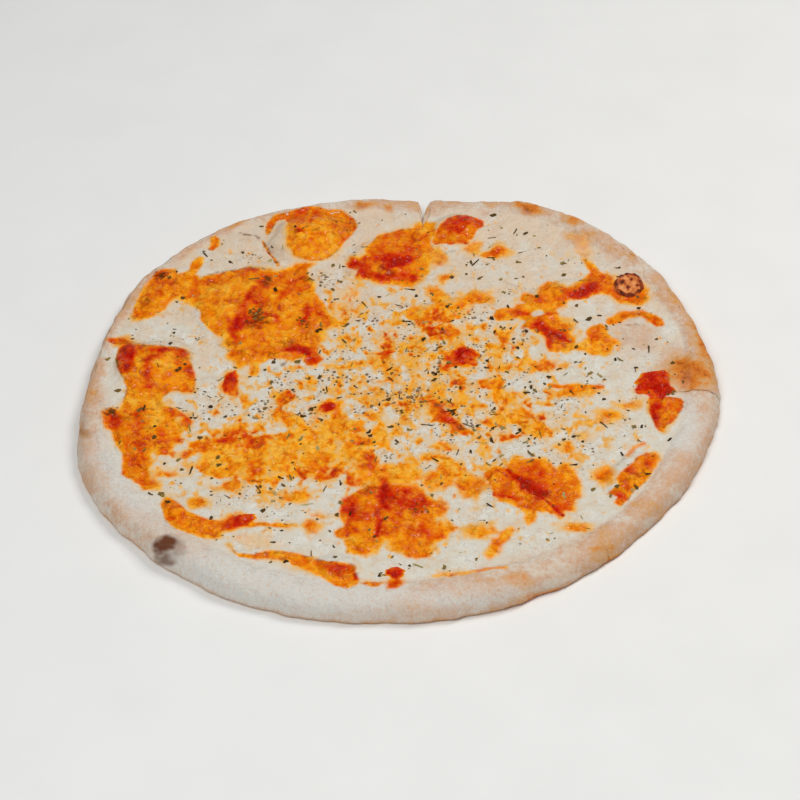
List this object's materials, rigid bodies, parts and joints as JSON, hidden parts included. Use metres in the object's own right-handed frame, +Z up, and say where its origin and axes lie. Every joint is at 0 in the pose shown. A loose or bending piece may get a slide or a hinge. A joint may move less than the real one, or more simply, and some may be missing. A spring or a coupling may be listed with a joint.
{
  "type": "cheese and tomato pizza",
  "caption": "Round thin-crust pizza cut into slices that lie together: floury puffed rim, melted white cheese, orange tomato sauce pools and blisters, dried oregano and a bit of sausage.",
  "frame": {"origin": "under the middle of the pizza, on the surface it lies on", "axes": "+Z up out of the topping, +X to the right and +Y away from the eater in the picture"},
  "size_m": [0.2986, 0.2902, 0.0151],
  "materials": {
    "crust": "dry baked dough, floury",
    "cheese": "melted cheese, slightly oily",
    "sauce": "oily cooked tomato sauce",
    "tomato": "wet cooked tomato",
    "sausage": "browned, oily meat"
  },
  "bodies": {
    "root": {"crust_1": "crust", "crust_2": "crust", "crust_3": "crust", "crust_4": "crust", "crust_5": "crust", "crust_6": "crust", "crust_7": "crust", "crust_8": "crust", "cheese_1": "cheese", "cheese_2": "cheese", "cheese_3": "cheese", "cheese_4": "cheese", "cheese_5": "cheese", "cheese_6": "cheese", "cheese_7": "cheese", "cheese_8": "cheese", "sauce_blister_back": "sauce", "sauce_pool_back_left": "sauce", "sauce_tongue_back_left": "sauce", "sauce_blister_left": "sauce", "sauce_pool_left_1": "sauce", "sauce_pool_left_2": "sauce", "sauce_band_left_1": "sauce", "sauce_band_left_2": "sauce", "sauce_band_front": "sauce", "sauce_blister_front": "sauce", "sauce_pool_front_1": "sauce", "sauce_pool_front_2": "sauce", "sauce_pool_front_right_1": "sauce", "sauce_pool_front_right_2": "sauce", "sauce_spot_front_right": "sauce", "sauce_blister_right": "sauce", "sauce_chip_right": "sauce", "sauce_pool_right": "sauce", "sauce_pool_back_right_1": "sauce", "sauce_pool_back_right_2": "sauce", "sauce_pool_back": "sauce", "sauce_blister_back_right": "sauce", "sauce_spot_back": "sauce", "sauce_pool_middle": "sauce", "sauce_spot_middle": "sauce", "tomato_front_left": "tomato", "tomato_front": "tomato", "tomato_right": "tomato", "tomato_middle_1": "tomato", "tomato_middle_2": "tomato", "tomato_left": "tomato", "tomato_front_middle": "tomato", "sausage_slice": "sausage"}
  },
  "joints": []
}
